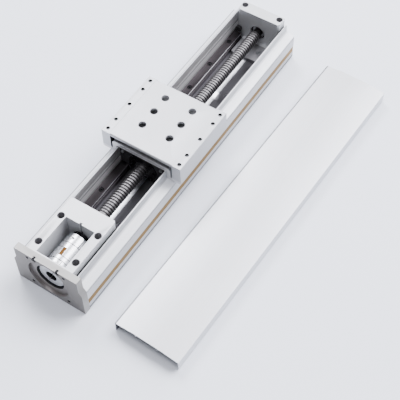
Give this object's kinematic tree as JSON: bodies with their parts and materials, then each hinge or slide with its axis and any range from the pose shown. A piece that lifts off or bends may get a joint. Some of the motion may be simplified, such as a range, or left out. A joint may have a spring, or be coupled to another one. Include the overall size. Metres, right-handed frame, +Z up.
{
  "type": "ball screw linear module",
  "caption": "Linear actuator: an aluminium channel with inlaid rails, a ball screw and a carriage that it drives; motor flange with coupling; top cover lying beside.",
  "frame": {"origin": "middle of the module's underside, between the motor face and the end of the channel", "axes": "+X along the screw from the motor face to the far end, +Z up, away from the mounting face"},
  "size_m": [0.5954, 0.3073, 0.0904],
  "materials": {
    "body_anodised": "clear satin anodised",
    "flange_anodised": "clear satin anodised, darker face",
    "block_anodised": "clear satin anodised, machined",
    "table_anodised": "clear satin anodised, machined",
    "cover_sheet": "clear satin anodised, extruded",
    "rail_steel": "ground hardened steel, oiled",
    "screw_steel": "rolled and polished steel",
    "ring_steel": "ground bearing steel",
    "ball_steel": "polished bearing balls",
    "black_oxide": "black oxide steel",
    "zinc_screws": "bright zinc plated",
    "coupling_aluminium": "turned aluminium",
    "black_plastic": "moulded black plastic",
    "black_rubber": "black rubber",
    "strip_bronze": "bronze coloured pressed-in strip",
    "spider_elastomer": "orange-brown elastomer"
  },
  "bodies": {
    "base": {"base_profile": "body_anodised", "motor_flange": "flange_anodised", "flange_screws": "black_oxide", "drive_block": "block_anodised", "drive_block_screws": "black_oxide", "drive_bearing_outer_rings": "ring_steel", "drive_bearing_balls": "ball_steel", "bearing_retainer": "black_oxide", "far_block": "block_anodised", "foot_plate": "block_anodised", "far_block_screws": "zinc_screws", "far_bearing_outer_ring": "ring_steel", "far_bearing_balls": "ball_steel", "bearing_cover": "block_anodised", "bearing_cover_screws": "zinc_screws", "left_rail": "rail_steel", "right_rail": "rail_steel", "rail_screws": "black_oxide", "end_bumpers": "black_rubber", "left_strip": "strip_bronze", "right_strip": "strip_bronze"},
    "carriage": {"slider_block": "rail_steel", "guide_balls": "ball_steel", "front_end_caps": "black_plastic", "rear_end_cap": "black_plastic", "end_cap_screws": "zinc_screws", "ball_nut": "rail_steel", "nut_wipers": "black_plastic", "nut_screws": "zinc_screws", "saddle": "table_anodised", "saddle_screws": "zinc_screws", "table": "table_anodised", "table_screws": "black_oxide"},
    "screw": {"ball_screw": "screw_steel", "drive_bearing_inner_rings": "ring_steel", "bearing_spacer": "ring_steel", "lock_nut": "black_oxide", "far_bearing_inner_ring": "ring_steel", "circlip": "black_oxide", "motor_side_hub": "coupling_aluminium", "screw_side_hub": "coupling_aluminium", "coupling_spider": "spider_elastomer", "hub_clamp_screws": "black_oxide"},
    "cover": {"top_cover": "cover_sheet"}
  },
  "joints": [
    {"name": "carriage_slide", "type": "slide", "parent": "base", "child": "carriage", "axis": [1, 0, 0], "range_m": [-0.105, 0.195]},
    {"name": "screw_spin", "type": "hinge", "parent": "base", "child": "screw", "pos_m": [0, 0, 0.042], "axis": [1, 0, 0], "continuous": true},
    {"name": "cover_lift", "type": "slide", "parent": "base", "child": "cover", "axis": [0, 0, 1], "range_m": [0, 0.12]}
  ],
  "couplings": [
    {"joint": "screw_spin", "follows": "carriage_slide", "rad_per_m": -1256.6}
  ]
}
